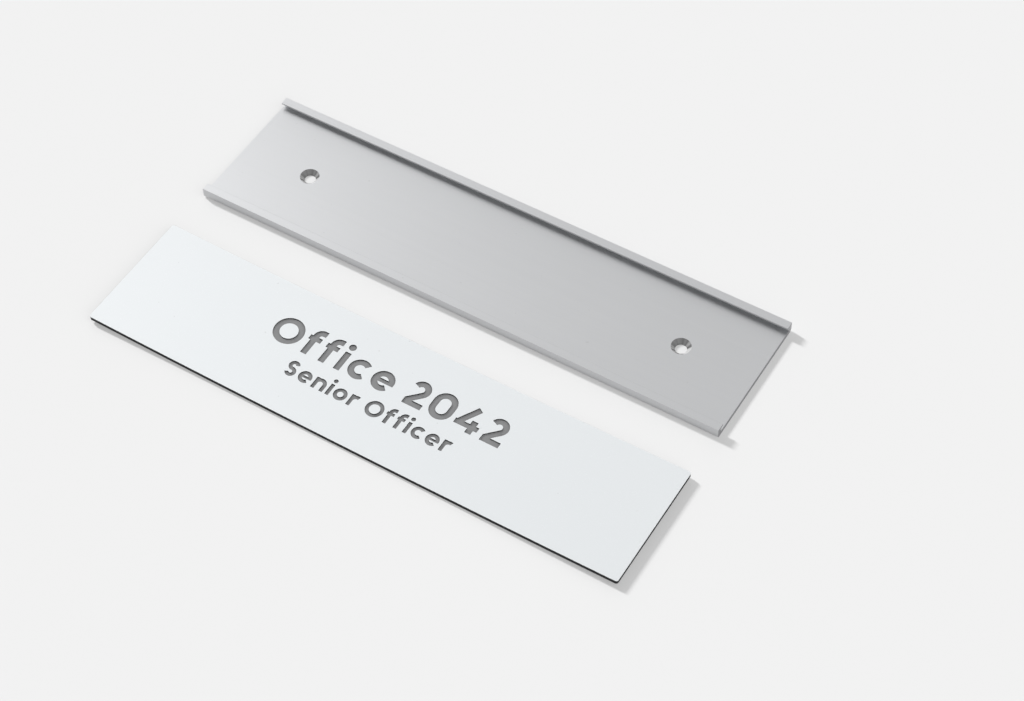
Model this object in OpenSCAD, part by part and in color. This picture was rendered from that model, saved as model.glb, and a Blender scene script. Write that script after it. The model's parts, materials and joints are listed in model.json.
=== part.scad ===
// Engraved door sign: an extruded aluminium wall holder with a lipped channel along each long
// edge, and the engraved two-ply insert plate that slides into those channels from either end.
// The insert is drawn out of the holder and lying in front of it. The origin is the centre of the
// holder's back face, X runs along the sign, and +Z leaves the wall. Millimetres.

/* [Holder] */
// Length of the holder, along the wall
holder_l = 200; // [120:1:400]
// Width of the holder, from one long edge to the other
holder_w = 50; // [30:0.5:120]
// Thickness of the back plate
base_t = 1.8; // [1.5:0.1:4]
// Thickness of the wall along each long edge
wall_t = 1.6; // [1:0.1:2.4]
// Thickness of each lip
lip_t = 0.8; // [0.6:0.1:2]
// How far each lip reaches past the inside of its wall
lip_reach = 1.4; // [0.8:0.1:5]
// Radius of the two long edges at the back
foot_r = 1.1; // [0.3:0.1:1.5]
// Radius that softens the sharp edges of the section
edge_r = 0.15; // [0.05:0.05:0.25]
// Radius in the inside corners of the channels
root_r = 0.3; // [0.1:0.05:0.5]

/* [Screw holes] */
// Distance from each end of the holder to its screw hole
hole_inset = 27; // [10:0.5:50]
// Diameter of the clearance hole for the screw
hole_d = 4; // [3:0.1:4.6]
// Diameter of the countersink at the face
sink_d = 6.8; // [5.4:0.1:8]
// Included angle of the countersink
sink_angle = 90; // [82:1:100]

/* [Insert] */
// Thickness of the dark core ply
core_t = 1.3; // [0.6:0.1:2.4]
// Thickness of the pale face ply bonded on the core
face_t = 0.2; // [0.1:0.05:0.6]
// Radius of the insert's corners
corner_r = 0.8; // [0.2:0.1:4]
// Rise of the bowed insert's ends above its middle
bow_rise = 1.2; // [0.3:0.1:4]
// Gap between the holder and the insert that lies in front of it
lay_gap = 17.2; // [2:0.1:80]

/* [Fit] */
// Room above the insert inside its channels
slot_clearance = 0.1; // [0.05:0.05:0.5]
// Room at each long edge of the insert inside its channels
side_clearance = 0.4; // [0.1:0.1:1]

/* [Hidden] */

// Number of sides that stand for a full circle
small_round = 32;
hole_round = 64;
// How far a cutter passes the face that it cuts
past = 0.5;

// The insert and the channel that takes it
insert_t = core_t + face_t;
slot_w = holder_w - 2 * wall_t;
slot_h = insert_t + slot_clearance;
mouth_w = slot_w - 2 * lip_reach;
holder_h = base_t + slot_h + lip_t;
insert_w = slot_w - 2 * side_clearance;
insert_l = holder_l;
insert_y = -(holder_w / 2 + lay_gap + insert_w / 2);

// Both plies are bent about one line, which lies this far above the floor
bow_radius = (pow(insert_l / 2, 2) + pow(bow_rise, 2)) / (2 * bow_rise);
bow_half_angle = asin((insert_l / 2 + past) / (bow_radius - insert_t));
bow_steps = 48;
bow_sides = ceil(bow_steps * 360 / (2 * bow_half_angle));

// Depth at which the countersink has narrowed to the clearance hole
sink_depth = (sink_d - hole_d) / 2 / tan(sink_angle / 2);

// Rectangle centred on X with its lower edge at y = 0 and its own radius at the low and high corners
module rounded_block(width, height, low_r, high_r) {
    union() {
        translate([-width / 2, low_r]) square([width, height - low_r - high_r]);
        translate([-width / 2 + low_r, 0]) square([width - 2 * low_r, height / 2]);
        translate([-width / 2 + high_r, height / 2]) square([width - 2 * high_r, height / 2]);
        for (side = [-1, 1]) {
            translate([side * (width / 2 - low_r), low_r]) circle(r = low_r, $fn = small_round);
            translate([side * (width / 2 - high_r), height - high_r])
                circle(r = high_r, $fn = small_round);
        }
    }
}

// What a radius takes off a square corner that points to +X and +Y from the origin
module corner_shaving(radius) {
    translate([-radius, -radius])
        difference() {
            square(radius + past / 2);
            circle(r = radius, $fn = small_round);
        }
}

// Space between the two lips, with the edges of the lips softened
module lip_mouth() {
    translate([-mouth_w / 2, base_t + slot_h / 2]) square([mouth_w, holder_h]);
    for (side = [0, 1])
        mirror([side, 0])
            translate([mouth_w / 2, 0]) {
                translate([0, holder_h]) mirror([1, 0]) corner_shaving(edge_r);
                translate([0, holder_h - lip_t]) mirror([1, 0]) mirror([0, 1]) corner_shaving(edge_r);
            }
}

// Section of the extrusion, with its back on y = 0
module holder_section() {
    difference() {
        rounded_block(holder_w, holder_h, foot_r, edge_r);
        translate([0, base_t]) rounded_block(slot_w, slot_h, root_r, root_r);
        lip_mouth();
    }
}

// Cutter for one countersunk screw hole, through the back plate
module screw_hole() {
    translate([0, 0, -past]) cylinder(d = hole_d, h = base_t + past, $fn = hole_round);
    translate([0, 0, base_t - sink_depth])
        cylinder(d1 = hole_d, d2 = sink_d, h = sink_depth, $fn = hole_round);
    translate([0, 0, base_t]) cylinder(d = sink_d, h = past, $fn = hole_round);
}

// One ply of the bowed insert: its inner radius about the bending line, and its thickness
module bowed_ply(inner_radius, thickness) {
    translate([0, insert_y, bow_radius])
        rotate([0, 90, 0])
            rotate([90, 0, 0])
                rotate([0, 0, -bow_half_angle])
                    rotate_extrude(angle = 2 * bow_half_angle, $fn = bow_sides)
                        translate([inner_radius, -insert_w / 2]) square([thickness, insert_w]);
}

// Upright prism of the insert's outline, tall enough for the bow
module insert_outline() {
    translate([0, insert_y - insert_w / 2, -past])
        linear_extrude(bow_rise + insert_t + 2 * past)
            rounded_block(insert_l, insert_w, corner_r, corner_r);
}

module holder() {
    color("#c9cbcd")
        difference() {
            translate([-holder_l / 2, 0, 0])
                rotate([90, 0, 90])
                    linear_extrude(holder_l)
                        holder_section();
            for (side = [-1, 1])
                translate([side * (holder_l / 2 - hole_inset), 0, 0]) screw_hole();
        }
}

module insert_core() {
    color("#38383a")
        intersection() {
            bowed_ply(bow_radius - core_t, core_t);
            insert_outline();
        }
}

module insert_face() {
    color("#eff1f2")
        intersection() {
            bowed_ply(bow_radius - insert_t, face_t);
            insert_outline();
        }
}

holder();
insert_core();
insert_face();
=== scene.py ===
"""Looks of an engraved door sign: an extruded aluminium holder and its loose engraved insert.

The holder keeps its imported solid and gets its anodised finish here. The insert is made again
with its lettering cut through the pale face ply into the dark core. Lengths are in metres, in
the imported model's own frame: X runs along the sign, and Z leaves the floor that it lies on.
"""

import json
import logging
import math
from dataclasses import dataclass, field
from enum import Enum

import bmesh
import bpy
from mathutils import Matrix, Vector


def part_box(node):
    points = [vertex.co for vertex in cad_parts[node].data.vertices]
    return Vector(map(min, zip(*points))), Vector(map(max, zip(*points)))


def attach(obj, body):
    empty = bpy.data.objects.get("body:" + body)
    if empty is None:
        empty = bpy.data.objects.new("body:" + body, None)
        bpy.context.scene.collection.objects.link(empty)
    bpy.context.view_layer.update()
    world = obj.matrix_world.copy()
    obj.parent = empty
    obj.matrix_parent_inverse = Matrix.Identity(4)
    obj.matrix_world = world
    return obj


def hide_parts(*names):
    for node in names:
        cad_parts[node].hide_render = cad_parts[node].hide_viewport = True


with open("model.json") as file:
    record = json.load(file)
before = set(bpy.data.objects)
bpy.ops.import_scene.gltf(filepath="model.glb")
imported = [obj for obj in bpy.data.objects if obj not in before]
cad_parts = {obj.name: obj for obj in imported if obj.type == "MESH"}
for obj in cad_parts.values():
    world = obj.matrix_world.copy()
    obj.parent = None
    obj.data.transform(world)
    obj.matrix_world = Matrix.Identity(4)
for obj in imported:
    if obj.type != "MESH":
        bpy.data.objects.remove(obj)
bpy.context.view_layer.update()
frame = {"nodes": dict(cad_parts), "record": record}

Point = tuple[float, float]
Colour = tuple[float, float, float]

MM = 0.001
BODY = "root"
log = logging.getLogger("door_sign")


class Node(Enum):
    """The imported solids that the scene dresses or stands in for."""

    HOLDER = "holder"
    CORE = "insert_core"
    FACE = "insert_face"


class Slot(Enum):
    """The record's material slots for the insert's two plies."""

    CORE = "core_ply"
    FACE = "face_ply"


def dimmed(colour: Colour, share: float) -> Colour:
    """Darkens a colour.

    Args:
        colour: The colour.
        share: How much of it is left.

    Returns:
        The darker colour.
    """
    red, green, blue = colour
    return (share * red, share * green, share * blue)


def mesh_object(name: str, work: bmesh.types.BMesh) -> bpy.types.Object:
    """Turns a bmesh into an object of the scene and frees it.

    Args:
        name: The object's name.
        work: The bmesh.

    Returns:
        The object, at the origin.
    """
    mesh = bpy.data.meshes.new(name)
    work.to_mesh(mesh)
    work.free()
    made = bpy.data.objects.new(name, mesh)
    bpy.context.scene.collection.objects.link(made)
    return made


class Recipe:
    """Builds the nodes of one material or of the world, a node at a time."""

    def __init__(self, owner: bpy.types.Material | bpy.types.World) -> None:
        """Starts with no nodes but the one that gives the coordinates.

        Args:
            owner: The material or the world that the nodes make.
        """
        self.owner = owner
        owner.use_nodes = True
        self.tree = owner.node_tree
        self.tree.nodes.clear()
        self.coordinates = self.add("ShaderNodeTexCoord").outputs
        self.place = self.coordinates["Object"]

    def add(self, kind: str, **settings: object) -> bpy.types.Node:
        """Adds a node.

        Args:
            kind: The node's type name.
            **settings: Properties of the node to set.

        Returns:
            The new node.
        """
        node = self.tree.nodes.new(kind)
        for name, value in settings.items():
            setattr(node, name, value)
        return node

    def feed(self, socket: bpy.types.NodeSocket, value: object) -> None:
        """Links an output to an input, or sets the input to a plain value.

        Args:
            socket: The input.
            value: An output socket, a number, a vector or a colour.
        """
        if isinstance(value, bpy.types.NodeSocket):
            self.tree.links.new(value, socket)
        elif hasattr(value, "__len__") and len(value) == 3 and len(socket.default_value) == 4:
            socket.default_value = (*value, 1.0)
        else:
            socket.default_value = value

    def math(self, operation: str, *values: object) -> bpy.types.NodeSocket:
        """Adds a Math node.

        Args:
            operation: Its operation.
            *values: Its inputs, in order.

        Returns:
            Its output.
        """
        node = self.add("ShaderNodeMath", operation=operation)
        for socket, value in zip(node.inputs, values):
            self.feed(socket, value)
        return node.outputs[0]

    def vector_math(self, operation: str, *values: object) -> bpy.types.NodeOutputs:
        """Adds a Vector Math node.

        Args:
            operation: Its operation.
            *values: Its inputs, in order.

        Returns:
            Its outputs, of which Vector or Value holds the result.
        """
        node = self.add("ShaderNodeVectorMath", operation=operation)
        for socket, value in zip(node.inputs, values):
            self.feed(socket, value)
        return node.outputs

    def parts(self, vector: bpy.types.NodeSocket) -> list[bpy.types.NodeSocket]:
        """Splits a vector.

        Args:
            vector: The vector.

        Returns:
            Its X, Y and Z.
        """
        node = self.add("ShaderNodeSeparateXYZ")
        self.feed(node.inputs[0], vector)
        return list(node.outputs)

    def facing(self) -> list[bpy.types.NodeSocket]:
        """The X, Y and Z of the way that the surface faces."""
        return self.parts(self.add("ShaderNodeNewGeometry").outputs["Normal"])

    def stretched(self, scale: tuple[float, float, float]) -> bpy.types.NodeSocket:
        """Object coordinates, scaled along each axis.

        Args:
            scale: The factors along X, Y and Z.

        Returns:
            The scaled coordinates.
        """
        node = self.add("ShaderNodeMapping")
        self.feed(node.inputs["Vector"], self.place)
        self.feed(node.inputs["Scale"], scale)
        return node.outputs[0]

    def noise(
        self, vector: bpy.types.NodeSocket, scale: float, detail: float = 2.0
    ) -> bpy.types.NodeSocket:
        """Adds a noise from 0 to 1.

        Args:
            vector: The coordinates that it follows.
            scale: How many features it has in a metre of them.
            detail: How many finer layers it has.

        Returns:
            Its value.
        """
        node = self.add("ShaderNodeTexNoise")
        self.feed(node.inputs["Vector"], vector)
        self.feed(node.inputs["Scale"], scale)
        self.feed(node.inputs["Detail"], detail)
        return node.outputs["Fac"]

    def ranged(self, value: object, start: Point, result: Point) -> bpy.types.NodeSocket:
        """Maps one range smoothly onto another, and clamps to it.

        Args:
            value: The input.
            start: The input's range.
            result: What the two ends of that range become.

        Returns:
            The mapped value.
        """
        node = self.add("ShaderNodeMapRange", interpolation_type="SMOOTHSTEP")
        for socket, number in zip(node.inputs, (value, *start, *result)):
            self.feed(socket, number)
        return node.outputs[0]

    def tinted(self, factor: object, low: object, high: object) -> bpy.types.NodeSocket:
        """Blends two colours.

        Args:
            factor: 0 for the first colour, 1 for the second.
            low: The first colour.
            high: The second colour.

        Returns:
            The blend.
        """
        node = self.add("ShaderNodeMix", data_type="RGBA")
        self.feed(node.inputs[0], factor)
        self.feed(node.inputs[6], low)
        self.feed(node.inputs[7], high)
        return node.outputs[2]

    def bump(self, height: object, distance: float) -> bpy.types.NodeSocket:
        """Adds a bump.

        Args:
            height: The height, from 0 to 1.
            distance: What a height of 1 measures, in metres.

        Returns:
            The bent normal.
        """
        node = self.add("ShaderNodeBump")
        self.feed(node.inputs["Height"], height)
        self.feed(node.inputs["Distance"], distance)
        return node.outputs[0]

    def finish(self, **sockets: object) -> bpy.types.Material:
        """Adds a material's surface shader.

        Args:
            **sockets: The shader's inputs, with spaces in their names written as underscores.

        Returns:
            The finished material.
        """
        shader = self.add("ShaderNodeBsdfPrincipled")
        for name, value in sockets.items():
            self.feed(shader.inputs[name.replace("_", " ")], value)
        output = self.add("ShaderNodeOutputMaterial")
        self.feed(output.inputs["Surface"], shader.outputs[0])
        return self.owner


@dataclass(frozen=True)
class AnodisedFinish:
    """Silver anodised aluminium drawn along X; its bare turned countersinks carry painted highlight and
    shade.
    """

    tone: Colour = (0.565, 0.571, 0.581)
    dull_share: float = 0.955
    roughness: float = 0.38
    roughness_play: float = 0.03
    die_lines: float = 0.3
    grain_scale: float = 4200.0
    grain_stretch: float = 0.02
    grain_height: float = 0.002 * MM
    streak_scale: float = 900.0
    streak_stretch: float = 0.006
    streak_share: float = 0.63
    cloud_scale: float = 35.0
    cloud_share: float = 0.36
    speck_scale: float = 620.0
    speck_range: Point = (0.76, 0.80)
    speck_share: float = 0.14
    # The sawn ends are coloured darker than the anodised skin: painted shade.
    sawn: Colour = (0.36, 0.36, 0.37)
    sawn_dull_share: float = 0.8
    saw_scale: float = 3000.0
    saw_stretch: float = 0.08
    end_facing: float = 0.97
    rim_radius: float = 3.7 * MM
    level_facing: float = 0.95
    bare_light: Colour = (0.46, 0.46, 0.46)
    # Dark bare metal, which is also the colour of the countersinks' painted shade.
    bare_dark_and_shade: Colour = (0.22, 0.22, 0.22)
    bare_roughness: float = 0.75
    chatter_marks: float = 9.0
    chatter_share: float = 0.12
    chatter_scale: float = 3.4
    chatter_range: Point = (0.36, 0.62)
    # A painted highlight about one angle of each countersink, and painted shade about another.
    painted_highlight: Colour = (0.78, 0.78, 0.78)
    highlight_angle: float = -10.0
    highlight_range: Point = (0.72, 0.92)
    painted_shade_angle: float = 132.0
    painted_shade_range: Point = (0.20, 0.75)
    painted_shade_share: float = 0.75

    def dress(self, hole_x: float) -> bpy.types.Material:
        """Makes the holder's material.

        Args:
            hole_x: How far each screw hole stands from the middle of the holder.

        Returns:
            The material.
        """
        recipe = Recipe(bpy.data.materials.new("anodised_aluminium"))
        x, along, _ = recipe.parts(recipe.place)
        across = recipe.math("SUBTRACT", x, recipe.math("MULTIPLY", recipe.math("SIGN", x), hole_x))
        squares = [recipe.math("POWER", value, 2.0) for value in (across, along)]
        from_hole = recipe.math("SQRT", recipe.math("ADD", *squares))
        near_hole = recipe.math("LESS_THAN", from_hole, self.rim_radius)
        facing_x, _, facing_z = recipe.facing()
        tilted = recipe.math("LESS_THAN", recipe.math("ABSOLUTE", facing_z), self.level_facing)
        bare = recipe.math("MULTIPLY", near_hole, tilted)
        # The sawn ends, which take the darker colour of the painted shade.
        shaded_end_cut = recipe.math("GREATER_THAN", recipe.math("ABSOLUTE", facing_x), self.end_facing)
        shaded_end_cut = recipe.math("MULTIPLY", shaded_end_cut, recipe.math("SUBTRACT", 1.0, near_hole))

        angle = recipe.math("ARCTAN2", along, across)
        chatter = self.chatter(recipe, angle)
        tone = recipe.tinted(shaded_end_cut, self.drawn_tone(recipe), self.sawn_tone_and_painted_shade(recipe))
        # The countersinks' bare metal, with its painted highlight and painted shade.
        tone = recipe.tinted(bare, tone, self.turned_tone_and_painted_light(recipe, angle, chatter))

        grain = recipe.noise(recipe.stretched((self.grain_stretch, 1.0, 1.0)), self.grain_scale, 3.0)
        play = recipe.math("MULTIPLY", grain, 2 * self.roughness_play)
        rough = recipe.math("ADD", self.roughness - self.roughness_play, play)
        added = recipe.math("MULTIPLY", bare, self.bare_roughness - self.roughness)
        drawn_grain = recipe.math("MULTIPLY", grain, recipe.math("SUBTRACT", 1.0, bare))
        return recipe.finish(
            Base_Color=tone,
            Metallic=1.0,
            Roughness=recipe.math("ADD", rough, added),
            Anisotropic=self.die_lines,
            Tangent=recipe.add("ShaderNodeTangent", direction_type="RADIAL", axis="X").outputs[0],
            Normal=recipe.bump(recipe.math("ADD", drawn_grain, chatter), self.grain_height),
        )

    def drawn_tone(self, recipe: Recipe) -> bpy.types.NodeSocket:
        """The anodised skin: faint streaks along the sign, wide clouds and a few specks.

        Args:
            recipe: The material's recipe.

        Returns:
            The colour.
        """
        streaks = recipe.noise(recipe.stretched((self.streak_stretch, 1.0, 1.0)), self.streak_scale)
        cloud = recipe.noise(recipe.place, self.cloud_scale)
        specks = recipe.noise(recipe.place, self.speck_scale, 1.0)
        specks = recipe.ranged(specks, self.speck_range, (0.0, self.speck_share))
        streaks = recipe.math("MULTIPLY", streaks, self.streak_share)
        cloud = recipe.math("MULTIPLY", cloud, self.cloud_share)
        shade = recipe.math("ADD", streaks, cloud)
        tone = recipe.tinted(shade, dimmed(self.tone, self.dull_share), self.tone)
        return recipe.tinted(specks, tone, self.bare_dark_and_shade)

    def sawn_tone_and_painted_shade(self, recipe: Recipe) -> bpy.types.NodeSocket:
        """The sawn ends, scored from top to bottom, and coloured darker than the skin as painted shade.

        Args:
            recipe: The material's recipe.

        Returns:
            The colour.
        """
        saw = recipe.noise(recipe.stretched((1.0, 1.0, self.saw_stretch)), self.saw_scale)
        return recipe.tinted(saw, dimmed(self.sawn, self.sawn_dull_share), self.sawn)

    def chatter(self, recipe: Recipe, angle: bpy.types.NodeSocket) -> bpy.types.NodeSocket:
        """The marks that a countersink cutter leaves, which change only with the angle.

        Args:
            recipe: The material's recipe.
            angle: The angle about the hole, in radians.

        Returns:
            Their height.
        """
        marks = recipe.math("SINE", recipe.math("MULTIPLY", angle, self.chatter_marks))
        round_hole = recipe.add("ShaderNodeCombineXYZ")
        recipe.feed(round_hole.inputs[0], recipe.math("COSINE", angle))
        recipe.feed(round_hole.inputs[1], recipe.math("SINE", angle))
        uneven = recipe.noise(round_hole.outputs[0], self.chatter_scale, 3.0)
        return recipe.math("ADD", recipe.math("MULTIPLY", marks, self.chatter_share), uneven)

    def turned_tone_and_painted_light(
        self, recipe: Recipe, angle: bpy.types.NodeSocket, chatter: bpy.types.NodeSocket
    ) -> bpy.types.NodeSocket:
        """The bare metal of the countersinks, with a painted highlight on one side and painted shade on
        another.

        Args:
            recipe: The material's recipe.
            angle: The angle about the hole, in radians.
            chatter: The height of the cutter's marks.

        Returns:
            The colour.
        """
        marks = recipe.ranged(chatter, self.chatter_range, (0.0, 1.0))
        tone = recipe.tinted(marks, self.bare_dark_and_shade, self.bare_light)
        # Lays the painted highlight on one side of the cone and the painted shade on another.
        for middle, edges, share, colour in (
            (self.highlight_angle, self.highlight_range, 1.0, self.painted_highlight),
            (self.painted_shade_angle, self.painted_shade_range, self.painted_shade_share, self.bare_dark_and_shade),
        ):
            turn = recipe.math("COSINE", recipe.math("SUBTRACT", angle, math.radians(middle)))
            tone = recipe.tinted(recipe.ranged(turn, edges, (0.0, share)), tone, colour)
        return tone


@dataclass(frozen=True)
class FacePlyFinish:
    """White satin acrylic skin, with the specks that the real one carries, and near-black painted shade on
    its sawn edge and lettering walls.
    """

    tone: Colour = (0.800, 0.827, 0.843)
    dull_share: float = 0.985
    cloud_scale: float = 28.0
    speck: Colour = (0.55, 0.56, 0.56)
    speck_scale: float = 480.0
    speck_range: Point = (0.785, 0.81)
    speck_share: float = 0.35
    # Near-black painted shade on every face of the white ply that doesn't face up: its sawn edge and the
    # walls of its lettering.
    sawn: Colour = (0.025, 0.025, 0.026)
    painted_shade_facing: float = 0.3
    roughness: float = 0.26
    roughness_play: float = 0.04
    texture_scale: float = 2600.0
    texture_height: float = 0.003 * MM
    gloss: float = 0.5

    def dress(self) -> bpy.types.Material:
        """Makes the face ply's material.

        Returns:
            The material.
        """
        recipe = Recipe(bpy.data.materials.new("white_face_ply"))
        # Faces that don't face up take the near-black painted shade.
        sawn = recipe.math("LESS_THAN", recipe.facing()[2], self.painted_shade_facing)
        cloud = recipe.noise(recipe.place, self.cloud_scale)
        texture = recipe.noise(recipe.place, self.texture_scale)
        specks = recipe.noise(recipe.place, self.speck_scale, 1.0)
        specks = recipe.ranged(specks, self.speck_range, (0.0, self.speck_share))
        tone = recipe.tinted(cloud, dimmed(self.tone, self.dull_share), self.tone)
        tone = recipe.tinted(specks, tone, self.speck)
        play = recipe.math("MULTIPLY", texture, 2 * self.roughness_play)
        return recipe.finish(
            Base_Color=recipe.tinted(sawn, tone, self.sawn),
            Roughness=recipe.math("ADD", self.roughness - self.roughness_play, play),
            Specular_IOR_Level=self.gloss,
            Normal=recipe.bump(texture, self.texture_height),
        )


@dataclass(frozen=True)
class CorePlyFinish:
    """Charcoal acrylic core: matt at its sawn edge, and grey where the cutter has engraved it."""

    tone: Colour = (0.016, 0.016, 0.017)
    dull_share: float = 0.7
    edge_scale: float = 1500.0
    edge_stretch: float = 0.2
    cut: Colour = (0.285, 0.287, 0.291)
    cut_dull_share: float = 0.9
    cut_facing: float = 0.7
    pass_scale: float = 2400.0
    pass_stretch: float = 0.15
    pass_height: float = 0.004 * MM
    roughness: float = 0.55
    roughness_play: float = 0.05
    gloss: float = 0.12

    def dress(self) -> bpy.types.Material:
        """Makes the core's material.

        Returns:
            The material.
        """
        recipe = Recipe(bpy.data.materials.new("charcoal_core_ply"))
        cut_floor = recipe.math("GREATER_THAN", recipe.facing()[2], self.cut_facing)
        passes = recipe.noise(recipe.stretched((self.pass_stretch, 1.0, 1.0)), self.pass_scale)
        cut_tone = recipe.tinted(passes, dimmed(self.cut, self.cut_dull_share), self.cut)
        scores = recipe.noise(recipe.stretched((self.edge_stretch, 1.0, 1.0)), self.edge_scale, 3.0)
        edge_tone = recipe.tinted(scores, dimmed(self.tone, self.dull_share), self.tone)
        play = recipe.math("MULTIPLY", scores, 2 * self.roughness_play)
        return recipe.finish(
            Base_Color=recipe.tinted(cut_floor, edge_tone, cut_tone),
            Roughness=recipe.math("ADD", self.roughness - self.roughness_play, play),
            Specular_IOR_Level=self.gloss,
            Normal=recipe.bump(passes, self.pass_height),
        )


@dataclass(frozen=True)
class Bar:
    """A straight cut between two points, in cap heights."""

    start: Point
    end: Point
    weight: float = 1.0


@dataclass(frozen=True)
class Arc:
    """A round cut about a centre, in cap heights and degrees."""

    centre: Point
    radius: float
    start: float = 0.0
    sweep: float = 360.0
    weight: float = 1.0


@dataclass(frozen=True)
class Dot:
    """A round pocket, in cap heights."""

    centre: Point
    radius: float


Stroke = Bar | Arc | Dot


@dataclass(frozen=True)
class Glyph:
    """One character: how wide it is, and the cuts that make it, in cap heights."""

    width: float
    strokes: tuple[Stroke, ...]


@dataclass(frozen=True)
class RoundAlphabet:
    """A plain bold alphabet of straight bars and round arcs, drawn on its centre lines."""

    weight: float = 0.215
    x_height: float = 0.75
    overshoot: float = 0.015
    overlap: float = 0.03
    bar_inset: float = 0.06
    gap: float = 0.165
    space: float = 0.50

    def glyph(self, letter: str) -> Glyph:
        """Looks up one character.

        Args:
            letter: The character.

        Returns:
            Its width and cuts.
        """
        half = self.weight / 2
        round_top = self.x_height + self.overshoot - half
        bowl_radius = self.x_height / 2 + self.overshoot - half
        bowl = (bowl_radius + half, self.x_height / 2)
        stem = Bar((half, 0.0), (half, self.x_height))
        shoulder = 0.265
        arch = (half + shoulder, round_top - shoulder)
        leg = half + 2 * shoulder
        branch = 0.27
        curl = 0.205
        table = {
            "O": Glyph(1.04, (Arc((0.52, 0.5), 0.415),)),
            "o": Glyph(2 * bowl[0], (Arc(bowl, bowl_radius),)),
            "c": Glyph(1.82 * bowl[0], (Arc(bowl, bowl_radius, 46.0, 268.0),)),
            "e": Glyph(
                2 * bowl[0],
                (
                    Arc(bowl, bowl_radius, -10.8, 324.8),
                    Bar((half, bowl[1]), (2 * bowl[0] - self.bar_inset, bowl[1]), 0.68),
                ),
            ),
            "n": Glyph(
                2 * arch[0],
                (
                    stem,
                    Arc(arch, shoulder, 0.0, 180.0),
                    Bar((leg, 0.0), (leg, arch[1] + self.overlap)),
                ),
            ),
            "r": Glyph(0.50, (stem, Arc((half + branch, round_top - branch), branch, 70.0, 110.0))),
            "i": Glyph(self.weight, (stem, Dot((half, 0.98), 0.125))),
            "f": Glyph(
                0.50,
                (
                    Bar((0.19, 0.0), (0.19, 0.79)),
                    Arc((0.38, 0.78), 0.19, 90.0, 90.0),
                    Bar((0.375, 0.97), (0.48, 0.97)),
                    Bar((0.0, 0.665), (0.45, 0.665), 0.85),
                ),
            ),
            "S": Glyph(
                0.70,
                (
                    Arc((0.34, 0.705), curl, 22.0, 248.0),
                    Arc((0.36, 0.295), curl, 90.0, -248.0),
                    Bar((0.33, 0.5), (0.37, 0.5)),
                ),
            ),
            "2": Glyph(
                0.70,
                (
                    Arc((0.34, 0.69), 0.22, -42.0, 200.0),
                    Bar((0.503, 0.543), (0.10, 0.14)),
                    Bar((0.03, 0.095), (0.70, 0.095), 0.95),
                ),
            ),
            "0": Glyph(
                0.80,
                (
                    Arc((0.40, 0.615), 0.30, 0.0, 180.0),
                    Arc((0.40, 0.385), 0.30, 180.0, 180.0),
                    Bar((0.10, 0.38), (0.10, 0.62)),
                    Bar((0.70, 0.38), (0.70, 0.62)),
                ),
            ),
            "4": Glyph(
                0.84,
                (
                    Bar((0.53, 0.96), (0.12, 0.27)),
                    Bar((0.0, 0.255), (0.84, 0.255), 0.86),
                    Bar((0.61, 0.0), (0.61, 0.50)),
                ),
            ),
        }
        return table[letter]

    def placed(self, words: str) -> tuple[list[tuple[float, Stroke]], float]:
        """Sets a line of words.

        Args:
            words: The line.

        Returns:
            Each cut with how far right its letter starts, and the line's width.
        """
        cuts: list[tuple[float, Stroke]] = []
        pen = 0.0
        for letter in words:
            if letter == " ":
                pen += self.space - self.gap
                continue
            glyph = self.glyph(letter)
            cuts += [(pen, stroke) for stroke in glyph.strokes]
            pen += glyph.width + self.gap
        return cuts, pen - self.gap


@dataclass(frozen=True)
class Line:
    """A line of generic wording, its height and where its baseline lies on the plate."""

    words: str
    cap_height: float
    baseline: float


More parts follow.
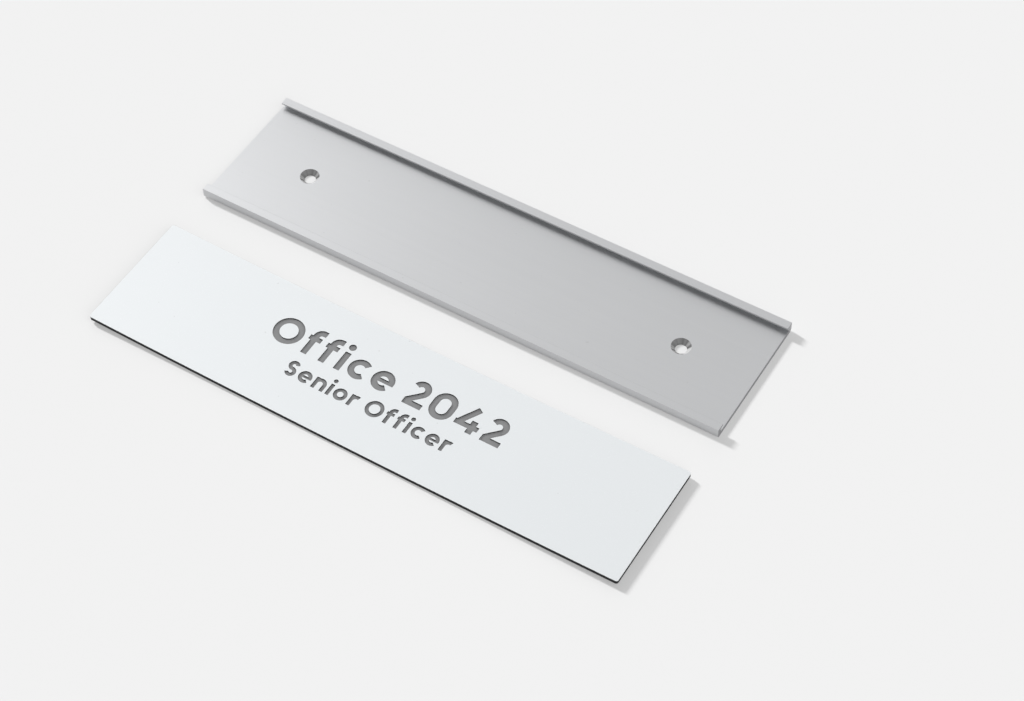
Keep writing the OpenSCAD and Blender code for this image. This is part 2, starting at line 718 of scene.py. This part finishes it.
@dataclass
class Cutter:
    """The engraving cutter's whole path through the plate, as one closed solid a stroke."""

    alphabet: RoundAlphabet
    low: float
    high: float
    middle: Point
    arc_step: float = 7.5
    fewest_steps: int = 4
    dot_segments: int = 36

    def build(self, lines: tuple[Line, ...]) -> bpy.types.Object:
        """Makes the solid that the lettering takes away.

        Args:
            lines: The lines of wording.

        Returns:
            The cutter.
        """
        half_way = (self.low + self.high) / 2
        work = bmesh.new()
        for line in lines:
            cap = line.cap_height
            cuts, width = self.alphabet.placed(line.words)
            left = self.middle[0] - width * cap / 2
            base = self.middle[1] + line.baseline
            for pen, stroke in cuts:
                origin = Vector((left + pen * cap, base, half_way))
                if isinstance(stroke, Bar):
                    self.cut_bar(work, stroke, origin, cap)
                elif isinstance(stroke, Dot):
                    self.cut_dot(work, stroke, origin, cap)
                else:
                    self.cut_arc(work, stroke, origin, cap)
        bmesh.ops.recalc_face_normals(work, faces=work.faces)
        return mesh_object("cutter", work)

    def cut_bar(self, work: bmesh.types.BMesh, bar: Bar, origin: Vector, cap: float) -> None:
        """Adds a straight cut.

        Args:
            work: The bmesh that gets it.
            bar: The cut.
            origin: Where the letter starts on its baseline, half way down the cut.
            cap: The height of a capital.
        """
        start, end = Vector(bar.start) * cap, Vector(bar.end) * cap
        run = end - start
        place = Matrix.Translation(origin + ((start + end) / 2).to_3d())
        turn = Matrix.Rotation(math.atan2(run.y, run.x), 4, "Z")
        across = self.alphabet.weight * cap * bar.weight
        size = Matrix.Diagonal((run.length, across, self.high - self.low, 1.0))
        bmesh.ops.create_cube(work, size=1.0, matrix=place @ turn @ size)

    def cut_dot(self, work: bmesh.types.BMesh, dot: Dot, origin: Vector, cap: float) -> None:
        """Adds a round pocket.

        Args:
            work: The bmesh that gets it.
            dot: The pocket.
            origin: Where the letter starts on its baseline, half way down the cut.
            cap: The height of a capital.
        """
        bmesh.ops.create_cone(
            work,
            cap_ends=True,
            segments=self.dot_segments,
            radius1=dot.radius * cap,
            radius2=dot.radius * cap,
            depth=self.high - self.low,
            matrix=Matrix.Translation(origin + (Vector(dot.centre) * cap).to_3d()),
        )

    def cut_arc(self, work: bmesh.types.BMesh, arc: Arc, origin: Vector, cap: float) -> None:
        """Adds a round cut, spun from its section.

        Args:
            work: The bmesh that gets it.
            arc: The cut.
            origin: Where the letter starts on its baseline, half way down the cut.
            cap: The height of a capital.
        """
        hub = origin + (Vector(arc.centre) * cap).to_3d()
        turn = Matrix.Rotation(math.radians(arc.start), 4, "Z")
        out = Matrix.Translation((arc.radius * cap, 0.0, 0.0))
        upright = Matrix.Rotation(math.pi / 2, 4, "X")
        across = self.alphabet.weight * cap * arc.weight
        size = Matrix.Diagonal((across, self.high - self.low, 1.0, 1.0))
        place = Matrix.Translation(hub) @ turn @ out @ upright @ size
        made = bmesh.ops.create_grid(work, x_segments=1, y_segments=1, size=0.5, matrix=place)
        section = made["verts"][0].link_faces[0]
        profile = [*section.edges, *section.verts]
        ring = abs(arc.sweep) >= 360.0
        if ring:
            bmesh.ops.delete(work, geom=[section], context="FACES_ONLY")
        else:
            profile.append(section)
        bmesh.ops.spin(
            work,
            geom=profile,
            cent=hub,
            axis=(0.0, 0.0, 1.0),
            angle=math.radians(arc.sweep),
            steps=max(self.fewest_steps, round(abs(arc.sweep) / self.arc_step)),
            use_merge=ring,
        )


@dataclass
class EngravedInsert:
    """The bowed two-ply plate, with generic wording cut through its face into its core."""

    lines: tuple[Line, ...] = (
        Line("Office 2042", 10.3 * MM, 0.8 * MM),
        Line("Senior Officer", 6.1 * MM, -9.1 * MM),
    )
    alphabet: RoundAlphabet = field(default_factory=RoundAlphabet)
    wording_x: float = -1.2 * MM
    cut_into_core: float = 0.30 * MM
    cut_above_face: float = 1.0 * MM
    corner_radius: float = 0.8 * MM
    corner_segments: int = 8
    edge_softening: float = 0.05 * MM
    edge_segments: int = 2
    strips: int = 80
    strip_weld: float = 1e-7

    def __post_init__(self) -> None:
        """Reads the plate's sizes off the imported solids."""
        core_low, core_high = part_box(Node.CORE.value)
        face_low, face_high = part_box(Node.FACE.value)
        self.length = core_high.x - core_low.x
        self.width = core_high.y - core_low.y
        self.centre = Vector(((core_low.x + core_high.x) / 2, (core_low.y + core_high.y) / 2, 0.0))
        self.core_thickness = face_low.z - core_low.z
        self.face_thickness = face_high.z - core_high.z
        self.rise = core_high.z - self.core_thickness
        self.bend_radius = ((self.length / 2) ** 2 + self.rise**2) / (2 * self.rise)

    def build(self) -> list[bpy.types.Object]:
        """Makes both plies and dresses them.

        Returns:
            The face and the core.
        """
        core_top = self.core_thickness
        face_top = core_top + self.face_thickness
        cutter = Cutter(
            self.alphabet,
            core_top - self.cut_into_core,
            face_top + self.cut_above_face,
            (self.centre.x + self.wording_x, self.centre.y),
        ).build(self.lines)
        face = self.ply("engraved_face", core_top, face_top, self.edge_softening, cutter)
        core = self.ply("engraved_core", 0.0, core_top, 0.0, cutter)
        bpy.data.objects.remove(cutter)
        for piece, node, slot, material in (
            (face, Node.FACE, Slot.FACE, FacePlyFinish().dress()),
            (core, Node.CORE, Slot.CORE, CorePlyFinish().dress()),
        ):
            piece.data.materials.append(material)
            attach(piece, BODY)
            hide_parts(node.value)
        return [face, core]

    def ply(
        self, name: str, low: float, high: float, softening: float, cutter: bpy.types.Object
    ) -> bpy.types.Object:
        """Makes one ply: a flat slab, cut by the cutter and then bowed.

        Args:
            name: The piece's name.
            low: The height of its underside before it is bowed.
            high: The height of its top before it is bowed.
            softening: The radius of its top edges.
            cutter: The solid that the lettering takes away.

        Returns:
            The piece.
        """
        work = bmesh.new()
        size = Matrix.Diagonal((self.length, self.width, high - low, 1.0))
        place = Matrix.Translation(self.centre + Vector((0.0, 0.0, (low + high) / 2)))
        bmesh.ops.create_cube(work, size=1.0, matrix=place @ size)
        upright = [e for e in work.edges if abs(e.verts[0].co.z - e.verts[1].co.z) > (high - low) / 2]
        self.round_off(work, upright, self.corner_radius, self.corner_segments)
        if softening:
            top = max(work.faces, key=lambda f: f.calc_center_median().z)
            self.round_off(work, list(top.edges), softening, self.edge_segments)
        flat = mesh_object(name + "_flat", work)
        cut = flat.modifiers.new("engraving", "BOOLEAN")
        cut.operation = "DIFFERENCE"
        cut.solver = "EXACT"
        cut.use_self = True
        cut.object = cutter
        bpy.context.view_layer.update()
        engraved = flat.evaluated_get(bpy.context.evaluated_depsgraph_get())
        work = bmesh.new()
        work.from_mesh(engraved.to_mesh())
        bpy.data.objects.remove(flat)
        self.bow(work)
        return mesh_object(name, work)

    def round_off(
        self, work: bmesh.types.BMesh, edges: list[bmesh.types.BMEdge], radius: float, segments: int
    ) -> None:
        """Rounds some edges.

        Args:
            work: The bmesh.
            edges: The edges.
            radius: Their radius.
            segments: The number of faces that each becomes.
        """
        bmesh.ops.bevel(
            work,
            geom=edges,
            offset=radius,
            offset_type="OFFSET",
            segments=segments,
            profile=0.5,
            affect="EDGES",
            material=-1,
        )

    def bow(self, work: bmesh.types.BMesh) -> None:
        """Cuts a flat ply into strips and bends it about its line of bending.

        Args:
            work: The flat ply, which is changed.
        """
        for number in range(1, self.strips):
            x = self.centre.x + self.length * (number / self.strips - 0.5)
            whole = [*work.verts, *work.edges, *work.faces]
            bmesh.ops.bisect_plane(
                work, geom=whole, dist=self.strip_weld, plane_co=(x, 0, 0), plane_no=(1, 0, 0)
            )
        for vert in work.verts:
            reach = vert.co.x - self.centre.x
            vert.co.z += self.bend_radius - math.sqrt(self.bend_radius**2 - reach**2)


@dataclass
class Holder:
    """The extruded holder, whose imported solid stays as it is."""

    finish: AnodisedFinish = field(default_factory=AnodisedFinish)

    def build(self) -> bpy.types.Object:
        """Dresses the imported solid.

        Returns:
            The holder.
        """
        holder = frame["nodes"][Node.HOLDER.value]
        holes = next(m for m in frame["record"]["mounts"] if m["name"] == "screw_holes")
        material = self.finish.dress(holes["dims"]["spacing_x_mm"] * MM / 2)
        holder.data.materials.clear()
        holder.data.materials.append(material)
        return holder


def direction(azimuth: float, elevation: float) -> Vector:
    """Points from the origin towards a place in the sky.

    Args:
        azimuth: Degrees from the front (minus Y) towards the left (minus X).
        elevation: Degrees above the floor.

    Returns:
        The unit vector.
    """
    turn, rise = math.radians(azimuth), math.radians(elevation)
    return Vector((-math.sin(turn) * math.cos(rise), -math.cos(turn) * math.cos(rise), math.sin(rise)))


@dataclass(frozen=True)
class Glow:
    """A wide soft light far away, fading out from its middle."""

    azimuth: float
    elevation: float
    strength: float
    reach: float = 38.0


@dataclass
class Studio:
    """The plain pale floor, the soft light and the camera."""

    backdrop: float = 0.8879
    floor_glow: float = 0.316
    floor_reach: float = 3.0
    floor_drop: float = 0.02 * MM
    lamp_distance: float = 1.437
    lamp_azimuth: float = 102.0
    lamp_elevation: float = 37.0
    lamp_size: Point = (0.10, 0.30)
    lamp_irradiance: float = 0.97
    shadow_irradiance: float = 5.0
    sheen_azimuth: float = 120.0
    sheen_elevation: float = 52.0
    sheen_size: Point = (0.40, 0.40)
    sheen_irradiance: float = 0.10
    glows: tuple[Glow, ...] = (
        Glow(90.0, 12.0, 0.50),
        Glow(112.0, 38.0, 0.21),
        Glow(135.0, 12.0, 1.16),
        Glow(158.0, 38.0, 0.85),
        Glow(248.0, 38.0, 0.73),
        Glow(270.0, 12.0, 1.15),
        Glow(292.0, 38.0, 1.16),
        Glow(300.0, 64.0, 1.16),
        Glow(315.0, 12.0, 1.16),
        Glow(338.0, 38.0, 0.42),
    )
    sky_irradiance: float = 0.803
    image_width: int = 1024
    target: tuple[float, float, float] = (26.08 * MM, -28.09 * MM, 0.0)
    distance: float = 726.64 * MM
    azimuth: float = 33.374
    elevation: float = 52.306
    roll: float = -2.282
    focal_pixels: float = 2241.7
    sensor: float = 36.0
    nearest: float = 0.01

    def __post_init__(self) -> None:
        """Works out where the lamps hang."""
        self.lamp_place = direction(self.lamp_azimuth, self.lamp_elevation) * self.lamp_distance
        self.sheen_place = direction(self.sheen_azimuth, self.sheen_elevation) * self.lamp_distance

    def build(self) -> None:
        """Makes everything that isn't the object."""
        floor = self.floor()
        self.sky()
        self.lamp("sheen_lamp", self.sheen_irradiance, self.sheen_place, self.sheen_size)
        self.lamp("soft_lamp", self.lamp_irradiance, self.lamp_place, self.lamp_size)
        shadow_lamp = self.lamp("shadow_lamp", self.shadow_irradiance, self.lamp_place, self.lamp_size)
        floor_only = bpy.data.collections.new("floor_only")
        floor_only.objects.link(floor)
        shadow_lamp.light_linking.receiver_collection = floor_only
        self.camera()

    def floor(self) -> bpy.types.Object:
        """Lays the floor under the object, at one plain tone wherever nothing shades it.

        Returns:
            The floor.
        """
        work = bmesh.new()
        bmesh.ops.create_grid(
            work,
            x_segments=1,
            y_segments=1,
            size=self.floor_reach,
            matrix=Matrix.Translation((0.0, 0.0, -self.floor_drop)),
        )
        floor = mesh_object("floor", work)
        recipe = Recipe(bpy.data.materials.new("pale_floor"))
        paint = recipe.add("ShaderNodeBsdfDiffuse")
        level = recipe.math("DIVIDE", self.backdrop - self.floor_glow, self.floor_light(recipe))
        recipe.feed(paint.inputs["Color"], level)
        glow = recipe.add("ShaderNodeEmission")
        recipe.feed(glow.inputs["Color"], (self.floor_glow,) * 3)
        both = recipe.add("ShaderNodeAddShader")
        recipe.feed(both.inputs[0], paint.outputs[0])
        recipe.feed(both.inputs[1], glow.outputs[0])
        output = recipe.add("ShaderNodeOutputMaterial")
        recipe.feed(output.inputs["Surface"], both.outputs[0])
        floor.data.materials.append(recipe.owner)
        return floor

    def floor_light(self, recipe: Recipe) -> bpy.types.NodeSocket:
        """The light on an open stretch of the floor, which a white surface would send back.

        Args:
            recipe: The floor's recipe.

        Returns:
            The level at each point.
        """
        gap = recipe.vector_math("SUBTRACT", self.lamp_place, recipe.place)["Vector"]
        reach = recipe.vector_math("LENGTH", gap)["Value"]
        facing = recipe.vector_math("DOT_PRODUCT", gap, self.lamp_place)["Value"]
        # A panel's light falls with the square of its reach, and with its slant at both ends.
        lamps = self.lamp_irradiance + self.shadow_irradiance
        lamp_light = recipe.math("MULTIPLY", facing, lamps * self.lamp_distance * self.lamp_place.z / math.pi)
        lamp_light = recipe.math("DIVIDE", lamp_light, recipe.math("POWER", reach, 4.0))
        sheen_light = self.sheen_irradiance * self.sheen_place.z / self.lamp_distance / math.pi
        return recipe.math("ADD", self.sky_irradiance + sheen_light, lamp_light)

    def sky(self) -> None:
        """Lights the scene with soft glows, which the camera, metal and glass see as one plain tone."""
        world = bpy.data.worlds.new("studio")
        bpy.context.scene.world = world
        recipe = Recipe(world)
        total: float | bpy.types.NodeSocket = 0.0
        for glow in self.glows:
            towards = direction(glow.azimuth, glow.elevation)
            near = recipe.vector_math("DOT_PRODUCT", recipe.coordinates["Generated"], towards)["Value"]
            edge = math.cos(math.radians(glow.reach))
            total = recipe.math("ADD", total, recipe.ranged(near, (edge, 1.0), (0.0, glow.strength)))
        light = recipe.add("ShaderNodeBackground")
        recipe.feed(light.inputs["Color"], total)
        plain = recipe.add("ShaderNodeBackground")
        recipe.feed(plain.inputs["Color"], (self.backdrop,) * 3)
        rays = recipe.add("ShaderNodeLightPath").outputs
        seen = recipe.math("MAXIMUM", rays["Is Camera Ray"], rays["Is Glossy Ray"])
        seen = recipe.math("MAXIMUM", seen, rays["Is Transmission Ray"])
        mix = recipe.add("ShaderNodeMixShader")
        recipe.feed(mix.inputs[0], seen)
        recipe.feed(mix.inputs[1], light.outputs[0])
        recipe.feed(mix.inputs[2], plain.outputs[0])
        output = recipe.add("ShaderNodeOutputWorld")
        recipe.feed(output.inputs["Surface"], mix.outputs[0])

    def lamp(self, name: str, irradiance: float, place: Vector, size: Point) -> bpy.types.Object:
        """Hangs a soft panel that faces the origin.

        Args:
            name: Its name.
            irradiance: The light that reaches the origin, square to the lamp, in W/m2.
            place: Its middle.
            size: Its width and its height.

        Returns:
            The lamp.
        """
        data = bpy.data.lights.new(name, "AREA")
        data.energy = math.pi * self.lamp_distance**2 * irradiance
        data.shape = "RECTANGLE"
        data.size, data.size_y = size
        lamp = bpy.data.objects.new(name, data)
        lamp.location = place
        lamp.rotation_euler = place.to_track_quat("Z", "Y").to_euler()
        bpy.context.scene.collection.objects.link(lamp)
        return lamp

    def camera(self) -> None:
        """Places the camera as the photograph's."""
        data = bpy.data.cameras.new("camera")
        data.sensor_width = self.sensor
        data.lens = self.focal_pixels * self.sensor / self.image_width
        data.clip_start = self.nearest
        turn, roll = math.radians(self.azimuth), math.radians(self.roll)
        back = direction(-self.azimuth, self.elevation)
        level_right = Vector((math.cos(turn), math.sin(turn), 0.0))
        level_up = back.cross(level_right)
        right = level_right * math.cos(roll) + level_up * math.sin(roll)
        up = back.cross(right)
        camera = bpy.data.objects.new("camera", data)
        bpy.context.scene.collection.objects.link(camera)
        place = Matrix((right, up, back)).transposed().to_4x4()
        place.translation = Vector(self.target) + back * self.distance
        camera.matrix_world = place
        bpy.context.scene.camera = camera


def main() -> None:
    """Builds the studio, dresses the holder and makes the insert."""
    logging.basicConfig(level=logging.INFO, format="%(name)s: %(message)s")
    bpy.context.scene.view_settings.view_transform = "Standard"
    Studio().build()
    holder = Holder().build()
    log.info("%s dressed, %d faces", holder.name, len(holder.data.polygons))
    for piece in EngravedInsert().build():
        log.info("%s made, %d faces", piece.name, len(piece.data.polygons))


if __name__ == "__main__":
    main()
